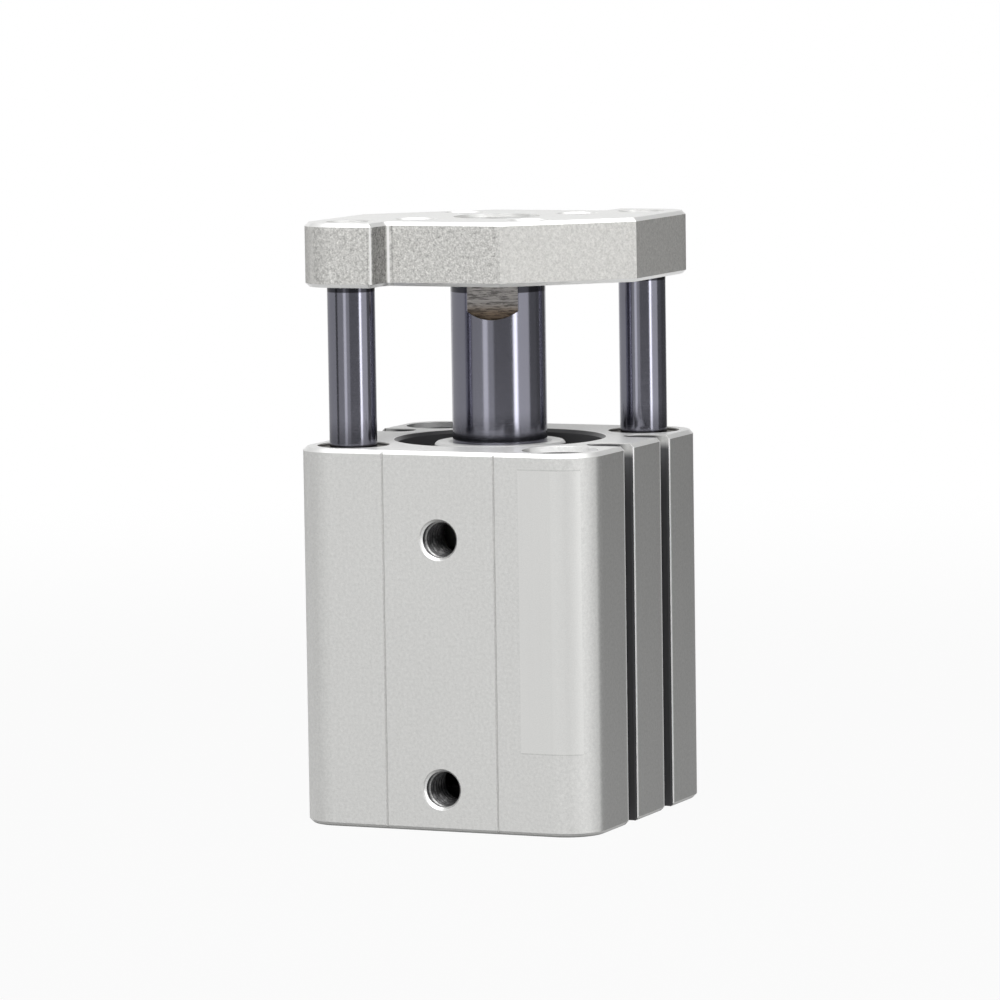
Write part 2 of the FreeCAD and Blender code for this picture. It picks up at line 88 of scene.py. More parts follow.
# Colours that show in places of a finish
OIL_BROWN = (0.165, 0.125, 0.09)
OILED_BRONZE = (0.06, 0.052, 0.042)
RUBBER_BLOOM = (0.06, 0.06, 0.062)
RUBBED_STEEL = (0.05, 0.05, 0.05)
PLASTIC_FIBRES = (0.16, 0.13, 0.1)
MAGNET_GRAINS = (0.22, 0.22, 0.22)
THREAD_GLINTS = (0.4, 0.4, 0.4)
FLOOR_PAPER = (0.14, 0.14, 0.14)    # what the floor sends back to the object
WHITE = (1, 1, 1, 1)

# Threads
RIDGE_SUNK = 0.03 * MM          # how far a ridge's foot lies inside the wall
RIDGE_FADE = 0.5                # turns over which a ridge grows to its height
FLANK = math.radians(30)        # half the angle between two flanks
PORT_THREAD_RUN = 7.0 * MM
COUNTERSINK_START = 0.14 * MM   # behind the port's own broken edge
COUNTERSINK_REACH = 0.55        # share of a turn's height that it covers

# Studio, in metres. A card's row gives the azimuths in degrees at which it begins and
# ends, and its brightness; cards show only in reflections
CARDS = {
    "card_front": (11, 58, 0.2),
    "strip_right": (60, 69, 3.4),
    "panel_right": (72, 102, 0.77),
    "card_right": (102, 126, 0.17),
    "card_back_right": (126, 176, 0.12),
    "card_back": (176, 230, 0.7),
    "panel_left": (232, 303, 0.47),
    "card_left": (303, 314, 0.1),
    "card_front_left": (314, 344, 0.42),
    "strip_left": (344, 356, 1.2),
    "card_middle": (356, 371, 0.5),
}
CARD_RADIUS = 0.36
CARD_FOOT = 0.0005
CARD_HEIGHT = 0.5
CARD_STEP = 4                   # degrees of a card's facet
FLOOR_RADIUS = 9.0
LAMP_TARGET = 0.04              # height that the lamps are aimed at


# --- Sizes and colours ------------------------------------------------------------

def length(name, description, default, **more):
    return FloatProperty(name=name, description=description, default=default, min=0.0,
                         precision=5, unit="LENGTH", **more)


def colour(name, description, default):
    return FloatVectorProperty(name=name, description=description, default=default,
                               min=0.0, max=1.0, size=3, subtype="COLOR")


def angle(name, description, degrees):
    return FloatProperty(name=name, description=description,
                         default=math.radians(degrees), subtype="ANGLE")


def strength(name, description, default):
    return FloatProperty(name=name, description=description, default=default, min=0.0)


class CylinderThreads(PropertyGroup):
    """Sizes of the inside threads of the ports and tool holes."""

    pitch: length("Pitch", "Distance between two turns", 0.8 * MM)
    depth: length("Depth", "Height of a turn above the bottom of its groove", 0.42 * MM)
    crest: length("Crest", "Width of the flat on top of a turn", 0.2 * MM)
    lead_in: length("Lead-in", "Distance from the mouth to the first turn", 0.42 * MM)
    countersink: length("Countersink", "How far a port's countersink reaches in", 0.42 * MM)
    facets: IntProperty(name="Facets", description="Steps in one turn", default=48, min=12)


class CylinderEdges(PropertyGroup):
    """How far sharp edges are broken."""

    machined: length("Machined", "Width of the break on milled and extruded edges", 0.1 * MM)
    screws: length("Screws", "Width of the break on screw heads and sockets", 0.12 * MM)
    least_angle: angle("Least angle", "Edges flatter than this stay as they are", 38)


class CylinderColours(PropertyGroup):
    """Colours of the finishes."""

    body: colour("Body", "Blasted and anodised body", (0.60, 0.60, 0.588))
    # Milled ends of the body, made lighter, partly as painted light on the top face
    lit_body_ends: colour("Body ends", "Milled ends of the body", (0.72, 0.72, 0.71))
    plate: colour("Plate", "Blasted and anodised load plate", (0.53, 0.525, 0.507))
    # Milled faces of the plate, made lighter, partly as painted light on the top face
    lit_plate_faces: colour("Plate faces", "Milled faces of the plate", (0.70, 0.70, 0.69))
    cut: colour("Cut metal", "Aluminium cut after anodising", (0.80, 0.80, 0.79))
    # Painted shade: near-black colour for the walls inside slots, ports and holes, and deep
    # in the threads
    recess_shade: colour("Recesses", "Walls that blasting does not reach", (0.07, 0.07, 0.073))
    turned: colour("Turned metal", "Rod cover and piston", (0.70, 0.70, 0.69))
    chrome: colour("Chrome", "Ground and chromed rods", (0.335, 0.335, 0.395))
    milled_flat: colour("Wrench flat", "Milled flat on the piston rod", (0.30, 0.285, 0.275))
    bronze: colour("Bronze", "Sintered bushes", (0.52, 0.44, 0.33))
    rubber: colour("Rubber", "Seals and bumpers", (0.022, 0.022, 0.024))
    spring_steel: colour("Spring steel", "Phosphated retaining ring", (0.014, 0.014, 0.015))
    zinc: colour("Zinc", "Plated screws", (0.56, 0.56, 0.55))
    wear_ring: colour("Wear ring", "Filled plastic", (0.075, 0.062, 0.05))
    magnet: colour("Magnet", "Bonded magnet", (0.06, 0.06, 0.062))


class CylinderStudio(PropertyGroup):
    """Lamps, background and camera."""

    key: strength("Key", "Brightness of the large soft lamp", 9.1)
    top: strength("Top", "Brightness of the lamp overhead", 1.6)
    ambient: strength("Ambient", "Light from all round on matt surfaces", 0.10)
    lens: FloatProperty(name="Lens", description="Focal length", default=212.5,
                        subtype="DISTANCE_CAMERA")
    distance: length("Distance", "Camera to target", 0.74825)
    target: length("Target", "Height that the camera looks at", 0.037)
    turn: angle("Turn", "Camera's angle to the right of the port face", 23.143)
    tilt: angle("Tilt", "Camera's angle above the floor", 6.038)
    roll: angle("Roll", "Camera's turn about its own axis", -0.835)
    shift: FloatVectorProperty(name="Shift", description="Camera's shift", size=2,
                               default=(-0.0013, 0.0196))


# --- Shader nodes ------------------------------------------------------------------

class Value:
    """An output of a node. Python's operators on it add Math nodes."""

    def __init__(self, nodes, socket):
        self.nodes = nodes
        self.socket = socket

    def math(self, operation, *operands):
        return self.nodes.node("ShaderNodeMath", {"operation": operation},
                               dict(enumerate(operands)))

    def __add__(self, other):
        return self.math("ADD", self, other)

    __radd__ = __add__

    def __sub__(self, other):
        return self.math("SUBTRACT", self, other)

    def __rsub__(self, other):
        return self.math("SUBTRACT", other, self)

    def __mul__(self, other):
        return self.math("MULTIPLY", self, other)

    __rmul__ = __mul__

    def __abs__(self):
        return self.math("ABSOLUTE", self)

    def root(self):
        return self.math("SQRT", self)

    def either(self, other):
        """The larger of two masks."""
        return self.math("MAXIMUM", self, other)

    def rising(self, low, high):
        """0 up to low, 1 from high on."""
        return self.nodes.node(
            "ShaderNodeMapRange", {"interpolation_type": "SMOOTHSTEP"},
            {"Value": self, "From Min": low, "From Max": high, "To Min": 0.0, "To Max": 1.0})

    def falling(self, low, high):
        """1 up to low, 0 from high on."""
        return 1 - self.rising(low, high)

    def between(self, low, high, soft):
        """1 from low to high, with soft ends."""
        return self.rising(low - soft, low) * self.falling(high, high + soft)


class Nodes:
    """The nodes of a material, a world or a modifier."""

    def __init__(self, tree):
        self.tree = tree
        tree.nodes.clear()

    def made(self, kind, settings, sockets):
        """A node of that type, its settings set before its sockets."""
        node = self.tree.nodes.new(kind)
        for name, setting in settings.items():
            setattr(node, name, setting)
        for name, content in sockets.items():
            socket = node.inputs[name]
            if isinstance(content, Value):
                self.tree.links.new(content.socket, socket)
            else:
                socket.default_value = content
        return node

    def node(self, kind, settings, sockets, output=0):
        return Value(self, self.made(kind, settings, sockets).outputs[output])

    def rays(self, *kinds):
        """1 on rays of any of these kinds."""
        paths = self.made("ShaderNodeLightPath", {}, {})
        total = Value(self, paths.outputs[kinds[0]])
        for kind in kinds[1:]:
            total = total.either(Value(self, paths.outputs[kind]))
        return total


class Finish(Nodes):
    """A node material. Lengths in it are millimetres on the part at rest."""

    def __init__(self, name):
        self.material = bpy.data.materials.new(name)
        self.material.use_nodes = True
        super().__init__(self.material.node_tree)
        coordinates = self.made("ShaderNodeTexCoord", {}, {})
        metres = Value(self, coordinates.outputs["Object"])
        self.place = self.node("ShaderNodeVectorMath", {"operation": "SCALE"},
                               {"Vector": metres, "Scale": 1 / MM})
        self.x, self.y, self.z = self.split(self.place)
        self.nx, self.ny, self.nz = self.split(Value(self, coordinates.outputs["Normal"]))

    def split(self, vector):
        node = self.made("ShaderNodeSeparateXYZ", {}, {"Vector": vector})
        return [Value(self, socket) for socket in node.outputs]

    def noise(self, scale, detail=2.0, stretch=(1, 1, 1), roughness=0.5):
        """Noise of about scale features per millimetre, around 0."""
        vector = self.node("ShaderNodeVectorMath", {"operation": "MULTIPLY"},
                           {0: self.place, 1: stretch})
        return self.node("ShaderNodeTexNoise", {}, {
            "Vector": vector, "Scale": scale, "Detail": detail,
            "Roughness": roughness}) - 0.5

    def marks(self, distance, scale, detail=3.0):
        """Tool marks along lines of equal distance, around 0."""
        return self.node("ShaderNodeTexNoise", {"noise_dimensions": "1D"},
                         {"W": distance, "Scale": scale, "Detail": detail}) - 0.5

    def radius(self, first, second, centre=(0.0, 0.0)):
        """Distance from an axis, in the plane of two coordinates."""
        across = first - centre[0]
        along = second - centre[1]
        return (across * across + along * along).root()

    def mixed(self, factor, first, second):
        """One colour towards another, through the node's two colour inputs."""
        sockets = {0: factor}
        for index, content in ((6, first), (7, second)):
            sockets[index] = content if isinstance(content, Value) else (*content, 1.0)
        return self.node("ShaderNodeMix", {"data_type": "RGBA"}, sockets, output=2)

    def toned(self, base, tone):
        """A colour made lighter or darker."""
        return self.node("ShaderNodeVectorMath", {"operation": "SCALE"},
                         {"Vector": base if isinstance(base, Value) else tuple(base),
                          "Scale": tone})

    def surface(self, height, height_mm, **sockets):
        """Ends the material. height is a bump of height_mm at 1."""
        relief = self.node("ShaderNodeBump", {}, {
            "Strength": 1.0, "Distance": height_mm * MM, "Height": height})
        named = {key.replace("_", " "): content for key, content in sockets.items()}
        shader = self.node("ShaderNodeBsdfPrincipled", {}, {**named, "Normal": relief})
        self.made("ShaderNodeOutputMaterial", {}, {"Surface": shader})
        return self.material


def dress(material, *nodes):
    """Gives CAD nodes their material."""
    for name in nodes:
        slots = frame["nodes"][name].data.materials
        slots.clear()
        slots.append(material)


# --- Finishes ------------------------------------------------------------------------

def guide_places():
    """x and y of both guide rods in millimetres."""
    boxes = [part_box(name) for name in ("guide_rod_front", "guide_rod_rear")]
    return [((low.x + high.x) / 2 / MM, (low.y + high.y) / 2 / MM) for low, high in boxes]


def port_places():
    """x and z of both ports in millimetres."""
    return [(MOUNTS[name]["pos_m"][0] / MM, MOUNTS[name]["pos_m"][2] / MM)
            for name in ("rod_port", "head_port")]


def tool_hole_place():
    """x and y of the tool hole in the plate's first quarter, in millimetres."""
    dims = MOUNTS["load_plate_holes"]["dims"]
    return dims["spacing_x_mm"] / 2, dims["spacing_y_mm"] / 2


def end_faces(f):
    """Masks of the faces square to the rods and of all others."""
    ends = abs(f.nz).rising(0.93, 0.985)
    return ends, 1 - ends


def mounting_walls(f):
    """Mask of the mounting holes and their counterbores."""
    corner = MOUNTS["rod_end_bolts"]["dims"]["pcd_mm"] / 2 / math.sqrt(2)
    first, second = (f.radius(f.x, f.y, place).falling(*MOUNTING_WALL)
                     for place in ((corner, -corner), (-corner, corner)))
    return first.either(second)


def body_recess_shade(f):
    """Mask of painted shade on the walls inside the slots, ports, bore mouth, guide holes
    and corner holes.
    """
    side, top = BODY_HIGH.x / MM, BODY_HIGH.z / MM
    from_side, from_top, from_front = side - abs(f.x), top - f.z, f.y + side
    slots = (from_side.between(SLOT_LIP_DEPTH, SLOT_REACH, 0.03)
             * abs(abs(f.y) - SLOT_Y).falling(*SLOT_WALL)
             * from_top.rising(0.5, 1.9).either(
                 from_side.rising(0.8, 2.4) * from_top.rising(0.1, 0.16)))
    cover_r, cover_top = COVER_HIGH.x / MM, COVER_HIGH.z / MM
    bore_mouth = (f.radius(f.x, f.y).falling(cover_r + 0.9, cover_r + 1.0)
                  * f.z.between(cover_top - 4.0, top - 0.1, 0.05))
    shaded_recesses = slots.either(bore_mouth)
    for place in guide_places():
        shaded_recesses = shaded_recesses.either(f.radius(f.x, f.y, place).falling(*GUIDE_WALL)
                               * from_top.rising(0.1, 0.2))
    shaded_recesses = shaded_recesses.either(mounting_walls(f) * from_top.rising(0.68, 0.8))
    for place in port_places():
        shaded_recesses = shaded_recesses.either(f.radius(f.x, f.z, place).falling(*PORT_WALL)
                               * from_front.between(0.3, 9.0, 0.1))
    return shaded_recesses * (1 - abs(f.nz).rising(0.9, 0.95))


def body_finish(colours):
    """Blasted and anodised extrusion with milled ends and bright broken edges, painted shade
    in its recesses, on its sides and along its foot, and painted light on its ends, rounded
    corners, slot lips and hole walls.
    """
    f = Finish("body_anodised")
    side = BODY_HIGH.y / MM
    grain = f.noise(2.6, 3.0, roughness=0.65)
    fine = f.noise(8.0, 1.0)
    drift = f.noise(0.06, 1.0)
    drawn = f.noise(1.6, 2.0, stretch=(1, 1, 0.02))
    # Painted shade: near-black walls deep in the slots, ports, bore mouth and holes
    shaded_recesses = body_recess_shade(f)
    ends, walls = end_faces(f)
    chamfers = f.nz.rising(0.3, 0.55) * walls
    # Painted light on the down-facing chamfers, and a painted contact shadow along the
    # bottom edge
    under = f.nz.falling(-0.55, -0.3) * walls
    foot = under * f.z.falling(0.1, 0.24)
    # Painted shade: the side faces are made darker
    shaded_sides = abs(f.nx).rising(0.94, 0.99) * (1 - shaded_recesses)
    # Painted light: the rounded corners beside the side faces are made lighter
    lit_rounded = abs(f.nx).rising(0.35, 0.8) * (1 - shaded_sides) * walls
    # Painted highlight: a bright cut strip along the slots' lips
    lit_lips = (abs(abs(abs(f.y) - SLOT_Y) - SLOT_LIP).falling(0.13, 0.17)
            * (side - abs(f.x)).falling(0.11, 0.13) * walls)
    # Hole walls are cut metal, and their tone is raised as painted light
    bored = mounting_walls(f) * walls
    scribed = (abs(abs(f.x) - SCRIBED_X).falling(0.17, 0.2)
               * abs(f.y).between(side - 0.3, side - 0.02, 0.01))
    arcs = f.marks(f.radius(f.x, f.y, BODY_CUTTER), 3.2) * ends
    across = f.x.between(*LABEL_X, 0.05) * f.ny.falling(-0.55, -0.5)
    label = across * f.z.between(*LABEL_Z, 0.05)
    label_middle, label_half = sum(LABEL_Z) / 2, (LABEL_Z[1] - LABEL_Z[0]) / 2
    outline = across * abs(abs(f.z - label_middle) - label_half - 0.1).falling(0.06, 0.1)
    plain = (1 - chamfers) * (1 - shaded_recesses)
    tone = (1 + grain * 0.42 * plain * (1 - label * 0.85) + fine * 0.2 * plain
            + drift * 0.04 + drawn * 0.03 * walls + arcs * 0.12
            + label * 0.07 - outline * 0.14 - scribed * 0.3
            - shaded_sides * 0.25 + lit_rounded * 0.22 + lit_lips * 0.5 + bored * 0.2
            + under * 0.1 - foot * 0.5)
    # The milled ends get a lighter colour, partly painted light on the top face
    base = f.mixed(chamfers.either(bored).either(lit_lips),
                   f.mixed(ends, colours.body, colours.lit_body_ends), colours.cut)
    return f.surface(
        grain * plain * (1 - label) * (1 - ends * 0.7) + arcs * 0.6, 0.02,
        Base_Color=f.mixed(shaded_recesses, f.toned(base, tone), colours.recess_shade),
        Roughness=0.52 + grain * 0.15 - ends * 0.16 - chamfers * 0.2 - label * 0.1,
        Metallic=0.34 + ends * 0.1 + chamfers * 0.25 - shaded_recesses * 0.3 - shaded_sides * 0.1,
        Specular_IOR_Level=0.35)


def plate_finish(colours):
    """Coarser blasted plate with milled faces, bright edges and hole walls, painted shade on
    its notch walls and painted light on its milled and slanted faces.
    """
    f = Finish("plate_anodised")
    grain = f.noise(2.0, 3.0, roughness=0.75)
    fine = f.noise(4.5, 1.0)
    drift = f.noise(0.08, 1.0)
    ends, walls = end_faces(f)
    chamfers = abs(f.nz).rising(0.3, 0.55) * walls
    arcs = f.marks(f.radius(f.x, f.y, PLATE_CUTTER), 3.0) * ends
    notch = (abs(abs(f.x) - NOTCH_X).falling(0.85, 0.9)
             * abs(f.y).rising(NOTCH_Y, NOTCH_Y + 0.1))
    facing_side = abs(f.nx)
    lit_edges = notch * facing_side.between(0.6, 0.82, 0.08) * walls
    shade = notch * facing_side.between(0.12, 0.3, 0.08) * walls
    # Painted shade: the notch's side walls are made darker
    shaded_notch_wall = notch * facing_side.rising(0.95, 0.99)
    # Painted light: the slanted faces are made lighter
    lit_slanted = facing_side.rising(0.4, 0.5) * (1 - notch) * walls
    bored = f.radius(f.x, f.y).falling(*PLATE_SCREW_WALL)
    for place in guide_places():
        bored = bored.either(f.radius(f.x, f.y, place).falling(*GUIDE_SCREW_WALL))
    bored = bored.either(
        f.radius(abs(f.x), abs(f.y), tool_hole_place()).falling(*TOOL_HOLE_WALL)) * walls
    plain = (1 - chamfers) * (1 - ends * 0.8) * (1 - lit_edges) * (1 - bored)
    tone = (1 + (grain * 1.5 + fine * 0.9) * plain * (1 - lit_slanted * 0.45) + drift * 0.05
            + arcs * 0.12 - shade * 0.25 - shaded_notch_wall * 0.4 + lit_slanted * 0.17)
    bright = chamfers.either(lit_edges).either(bored)
    # The milled faces get a lighter colour, partly painted light on the top face
    base = f.mixed(bright, f.mixed(ends, colours.plate, colours.lit_plate_faces), colours.cut)
    return f.surface(
        grain * plain + fine * 0.5 * plain + arcs * 0.5, 0.045,
        Base_Color=f.toned(base, tone),
        Roughness=0.55 + grain * 0.2 - ends * 0.18 - bright * 0.2,
        Metallic=0.34 + ends * 0.1 + chamfers.either(bored) * 0.25,
        Specular_IOR_Level=0.35)


def turned_finish(colours):
    """Lathe marks round the piston rod's axis."""
    f = Finish("cover_turned")
    facing = abs(f.nz).rising(0.7, 0.9)
    marks = f.marks(f.radius(f.x, f.y), 7.0) * facing + f.marks(f.z, 8.0) * (1 - facing)
    drift = f.noise(0.3, 2.0)
    return f.surface(
        marks, 0.012, Base_Color=f.toned(colours.turned, 1 + marks * 0.14 + drift * 0.08),
        Roughness=0.36 + marks * 0.2 + drift * 0.1, Metallic=0.55)


def chrome_finish(colours):
    """Ground and chromed rods with painted shade under the plate and just above the body;
    the piston rod's wrench flats are milled.
    """
    f = Finish("rod_chrome")
    ground = f.noise(1.0, 3.0, stretch=(0.35, 0.35, 9.0), roughness=0.7)
    speck = f.noise(6.0, 1.0)
    cloud = f.noise(0.12, 1.0)
    off_axis = f.radius(f.x, f.y)
    rod_r = (ROD_HIGH.x - ROD_LOW.x) / MM / 2
    plate_z = PLATE_LOW.z / MM
    flat = (off_axis.falling(rod_r - 0.09, rod_r - 0.03)
            * off_axis.rising(rod_r - 1.4, rod_r - 1.3)
            * f.z.rising(plate_z - FLAT_LENGTH, plate_z - FLAT_LENGTH + 0.1))
    # Painted shade: a dark band on the rods just under the plate
    behind_plate = 0.25 + off_axis.falling(7.0, 7.5) * 0.65
    shade_under_plate = (f.z + behind_plate).rising(plate_z - 0.55, plate_z - 0.45)
    # Painted shade: the rods are darker just above the body
    foot = f.z.falling(BODY_HIGH.z / MM + 0.3, BODY_HIGH.z / MM + 4.0)
    milled = f.noise(1.0, 4.0, stretch=(0.45, 0.45, 4.6), roughness=0.7)
    grooves = milled.rising(-0.03, 0.06)
    scratches = f.noise(1.0, 2.0, stretch=(0.9, 0.9, 12.0))
    flat_end = plate_z - FLAT_LENGTH + 0.25
    browned = f.z.falling(flat_end + 0.7, flat_end + 2.4)
    flat_colour = f.toned(f.mixed(browned, colours.milled_flat, OIL_BROWN),
                          1.62 - grooves * 1.0 + scratches * 1.4)
    rod_colour = f.toned(colours.chrome, 0.97 + cloud * 0.12 + speck * 0.08
                         - shade_under_plate * 0.75 - foot * 0.45)
    return f.surface(
        ground * 0.18 * (1 - flat) + milled * flat * 3.0, 0.02,
        Base_Color=f.mixed(flat, rod_colour, flat_colour),
        Roughness=0.13 + ground * 0.05 + speck * 0.04 + flat * 0.3,
        Metallic=1 - flat * 0.35)


def bronze_finish(colours):
    """Sintered bronze with open pores, dark with oil on its faces."""
    f = Finish("bush_bronze")
    pores = f.noise(7.0, 2.0, roughness=0.7)
    cloud = f.noise(0.6, 2.0)
    oiled = abs(f.nz).rising(0.8, 0.95)
    return f.surface(
        pores, 0.02,
        Base_Color=f.mixed(oiled, f.toned(colours.bronze, 1 + pores * 0.3 + cloud * 0.15),
                           f.toned(OILED_BRONZE, 1 + pores * 0.4)),
        Roughness=0.42 + pores * 0.25, Metallic=0.7)


def rubber_finish(colours):
    """Moulded rubber."""
    f = Finish("seal_rubber")
    skin = f.noise(5.0, 3.0)
    bloom = f.noise(0.7, 2.0).rising(-0.05, 0.25)
    return f.surface(
        skin, 0.015, Base_Color=f.mixed(bloom * 0.25, colours.rubber, RUBBER_BLOOM),
        Roughness=0.55 + skin * 0.2 + bloom * 0.1)


def spring_steel_finish(colours):
    """Phosphated steel, rubbed bare here and there."""
    f = Finish("ring_steel")
    crystals = f.noise(9.0, 2.0)
    rubbed = f.noise(1.1, 2.0).rising(0.12, 0.3)
    return f.surface(
        crystals, 0.01,
        Base_Color=f.mixed(rubbed * 0.5, f.toned(colours.spring_steel, 1 + crystals * 0.5),
                           RUBBED_STEEL),
        Roughness=0.42 + crystals * 0.2 - rubbed * 0.12, Metallic=0.3)


def zinc_finish(colours):
    """Plated screws with turned faces and painted shade in their sockets."""
    f = Finish("screw_zinc")
    cloud = f.noise(1.3, 3.0)
    lathe = f.marks(f.radius(f.x, f.y), 9.0) * abs(f.nz).rising(0.8, 0.95)
    # Painted shade: darker with depth inside the sockets
    socket = (SCREW_HIGH.z / MM - f.z).rising(0.5, 2.0)
    return f.surface(
        lathe + cloud * 0.4, 0.01,
        Base_Color=f.toned(colours.zinc, 1 + cloud * 0.25 + lathe * 0.1 - socket * 0.75),
        Roughness=0.3 + cloud * 0.15 + lathe * 0.1 + socket * 0.2, Metallic=0.85)


def wear_ring_finish(colours):
    """Filled plastic with short pale fibres."""
    f = Finish("wear_plastic")
    fibres = f.noise(3.0, 3.0, stretch=(1, 1, 6)).rising(0.08, 0.3)
    skin = f.noise(8.0, 1.0)
    return f.surface(
        skin, 0.01, Base_Color=f.mixed(fibres * 0.4, colours.wear_ring, PLASTIC_FIBRES),
        Roughness=0.5 + skin * 0.15)


def magnet_finish(colours):
    """Bonded magnet with metal grains."""
    f = Finish("magnet_black")
    grains = f.noise(12.0, 1.0).rising(0.1, 0.3)
    cloud = f.noise(0.8, 2.0)
    return f.surface(
        grains, 0.008,
        Base_Color=f.mixed(grains * 0.5, f.toned(colours.magnet, 1 + cloud * 0.3),
                           MAGNET_GRAINS),
        Roughness=0.5 - grains * 0.15, Metallic=0.3)


def thread_finish(name, colours, hole_r, depth, from_axis):
    """Tapped aluminium, with painted light on its first turns and painted shade with painted
    glints behind them.

    depth and from_axis tell how far a point lies from the mouth and from the axis."""
    f = Finish(name)
    torn = f.noise(3.0, 2.0)
    cloud = f.noise(1.0, 2.0)
    glints = f.noise(1.2, 2.0).rising(0.03, 0.13)
    behind_mouth = depth(f)
    rim = behind_mouth.falling(0.4, 0.5)
    crests = from_axis(f).falling(hole_r - 0.34, hole_r - 0.16)
    # Painted light: the first turns near the mouth are bright cut metal
    lit_first_turns = behind_mouth.falling(0.9, 1.9) * crests
    # Painted shade deep in the hole, with painted glints
    deep_shade = f.mixed(glints * 0.2, f.toned(colours.recess_shade, 0.45 + torn * 0.6),
                   THREAD_GLINTS)
    turns = f.mixed(lit_first_turns * (0.55 + torn * 0.9), deep_shade,
                    f.toned(colours.cut, 0.75 + torn * 0.5))
    return f.surface(
        torn, 0.004,
        Base_Color=f.mixed(rim, turns,
                           f.toned(colours.cut, 0.9 + torn * 0.3 + cloud * 0.2)),
        Roughness=0.32 + torn * 0.2, Metallic=0.2 + rim.either(lit_first_turns) * 0.55)


class CYLINDER_OT_finish_body(Operator):
    """Blast and anodise the cylinder body"""

    bl_idname = "cylinder.finish_body"
    bl_label = "Finish Body"
    bl_options = {"REGISTER", "UNDO"}

    def execute(self, context):
        dress(body_finish(context.scene.cylinder_colours), "cylinder_body")
        return {"FINISHED"}


class CYLINDER_OT_finish_load_plate(Operator):
    """Blast and anodise the load plate"""

    bl_idname = "cylinder.finish_load_plate"
    bl_label = "Finish Load Plate"
    bl_options = {"REGISTER", "UNDO"}

    def execute(self, context):
        dress(plate_finish(context.scene.cylinder_colours), "load_plate")
        return {"FINISHED"}


class CYLINDER_OT_finish_turned_pieces(Operator):
    """Give the rod cover, piston and magnet washer their lathe marks"""

    bl_idname = "cylinder.finish_turned_pieces"
    bl_label = "Finish Turned Pieces"
    bl_options = {"REGISTER", "UNDO"}

    def execute(self, context):
        dress(turned_finish(context.scene.cylinder_colours), "rod_cover", "piston",
              "magnet_washer")
        return {"FINISHED"}


class CYLINDER_OT_finish_rods(Operator):
    """Grind and chrome the piston rod and guide rods"""

    bl_idname = "cylinder.finish_rods"
    bl_label = "Finish Rods"
    bl_options = {"REGISTER", "UNDO"}

    def execute(self, context):
        dress(chrome_finish(context.scene.cylinder_colours), "piston_rod",
              "guide_rod_front", "guide_rod_rear")
        return {"FINISHED"}


class CYLINDER_OT_finish_bushes(Operator):
    """Give the bushes their sintered bronze"""

    bl_idname = "cylinder.finish_bushes"
    bl_label = "Finish Bushes"
    bl_options = {"REGISTER", "UNDO"}

    def execute(self, context):
        dress(bronze_finish(context.scene.cylinder_colours), "rod_bush",
              *[name for name in frame["nodes"] if name.startswith("guide_bush")])
        return {"FINISHED"}


class CYLINDER_OT_finish_seals(Operator):
    """Give the seals and bumpers their rubber and the wear ring its plastic"""

    bl_idname = "cylinder.finish_seals"
    bl_label = "Finish Seals"
    bl_options = {"REGISTER", "UNDO"}

    def execute(self, context):
        colours = context.scene.cylinder_colours
        dress(rubber_finish(colours), "rod_seal", "piston_seal", "rod_cover_o_ring",
              "piston_o_ring", "front_bumper", "rear_bumper")
        dress(wear_ring_finish(colours), "wear_ring")
        dress(magnet_finish(colours), "magnet")
        return {"FINISHED"}


class CYLINDER_OT_finish_steel(Operator):
    """Plate the screws and phosphate the retaining ring"""

    bl_idname = "cylinder.finish_steel"
    bl_label = "Finish Steel"
    bl_options = {"REGISTER", "UNDO"}

    def execute(self, context):
        colours = context.scene.cylinder_colours
        dress(zinc_finish(colours), "plate_screw", "guide_rod_screws", "piston_screw")
        dress(spring_steel_finish(colours), "retaining_ring")
        return {"FINISHED"}


def joined_mesh_nodes():
    """Geometry nodes that join a mesh's corners and drop its stored normals."""
    group = bpy.data.node_groups.new("Joined mesh", "GeometryNodeTree")
    for way in ("INPUT", "OUTPUT"):
        group.interface.new_socket("Geometry", in_out=way, socket_type="NodeSocketGeometry")
    nodes = Nodes(group)
    mesh = nodes.node("NodeGroupInput", {}, {})
    plain = nodes.node("GeometryNodeRemoveAttribute", {}, {
        "Geometry": mesh, "Name": "custom_normal"})
    joined = nodes.node("GeometryNodeMergeByDistance", {}, {
        "Geometry": plain, "Distance": 0.001 * MM})
    nodes.made("NodeGroupOutput", {}, {0: joined})
    return group


class CYLINDER_OT_break_edges(Operator):
    """Break the sharp edges of the machined pieces, so that they catch the light"""

    bl_idname = "cylinder.break_edges"
    bl_label = "Break Edges"
    bl_options = {"REGISTER", "UNDO"}

    def execute(self, context):
        edges = context.scene.cylinder_edges
        widths = {"cylinder_body": edges.machined, "load_plate": edges.machined,
                  "rod_cover": edges.machined, "plate_screw": edges.screws,
                  "guide_rod_screws": edges.screws}
        joined = joined_mesh_nodes()
        for name, width in widths.items():
            piece = frame["nodes"][name]
            piece.modifiers.new("Join", "NODES").node_group = joined
            broken = piece.modifiers.new("Break", "BEVEL")
            broken.width = width
            broken.segments = 2
            broken.limit_method = "ANGLE"
            broken.angle_limit = edges.least_angle
            broken.harden_normals = True
        return {"FINISHED"}


# --- Threads --------------------------------------------------------------------------

def add_mesh(name, points, faces, material):
    """New piece of the scene with one material."""
    mesh = bpy.data.meshes.new(name)
    mesh.from_pydata(points, [], faces)
    mesh.validate()
    mesh.materials.append(material)
    piece = bpy.data.objects.new(name, mesh)
    bpy.context.scene.collection.objects.link(piece)
    return piece


def outwards_from(axis):
    """Function that gives the direction at an angle round the axis."""
    first = axis.orthogonal().normalized()
    second = axis.cross(first)
    return lambda spin: first * math.cos(spin) + second * math.sin(spin)


